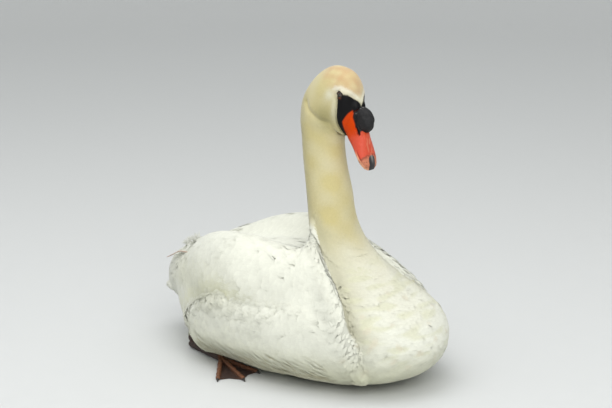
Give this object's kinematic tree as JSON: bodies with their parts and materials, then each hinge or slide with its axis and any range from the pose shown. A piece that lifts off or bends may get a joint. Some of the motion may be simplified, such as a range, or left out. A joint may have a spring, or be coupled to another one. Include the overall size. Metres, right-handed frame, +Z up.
{
  "type": "mute swan",
  "caption": "Life-size mute swan at rest, a still model sitting on its belly with the neck raised, the bill tucked down and the wings folded.",
  "frame": {"origin": "on the floor under the body, on the belly's flat, in the middle plane of the bird", "axes": "+X towards the breast, the way the bird faces; +Y to the bird's left; +Z up"},
  "size_m": [0.5707, 0.354, 0.4948],
  "materials": {
    "white_feather": "soft overlapping feathers, slightly warm white",
    "cream_feather": "short velvety feathers stained cream",
    "eye": "wet, nearly black brown",
    "bill": "smooth satin skin over horn, orange to coral",
    "black_horn": "semi-gloss, finely pebbled black skin and horn",
    "leg_skin": "scaly dark brown skin with reddish toes"
  },
  "bodies": {
    "root": {"trunk": "white_feather", "neck_lower": "white_feather", "neck_middle": "cream_feather", "neck_upper": "cream_feather", "head": "cream_feather", "eye_left": "eye", "eye_right": "eye", "bill_upper": "bill", "bill_lower": "bill", "bill_nail": "black_horn", "knob": "black_horn", "wing_right": "white_feather", "wing_left": "white_feather", "wing_tip_right": "white_feather", "wing_tip_left": "white_feather", "tail": "white_feather", "thigh_left": "white_feather", "thigh_right": "white_feather", "shank_left": "leg_skin", "shank_right": "leg_skin", "foot_left": "leg_skin", "foot_right": "leg_skin"}
  },
  "joints": []
}
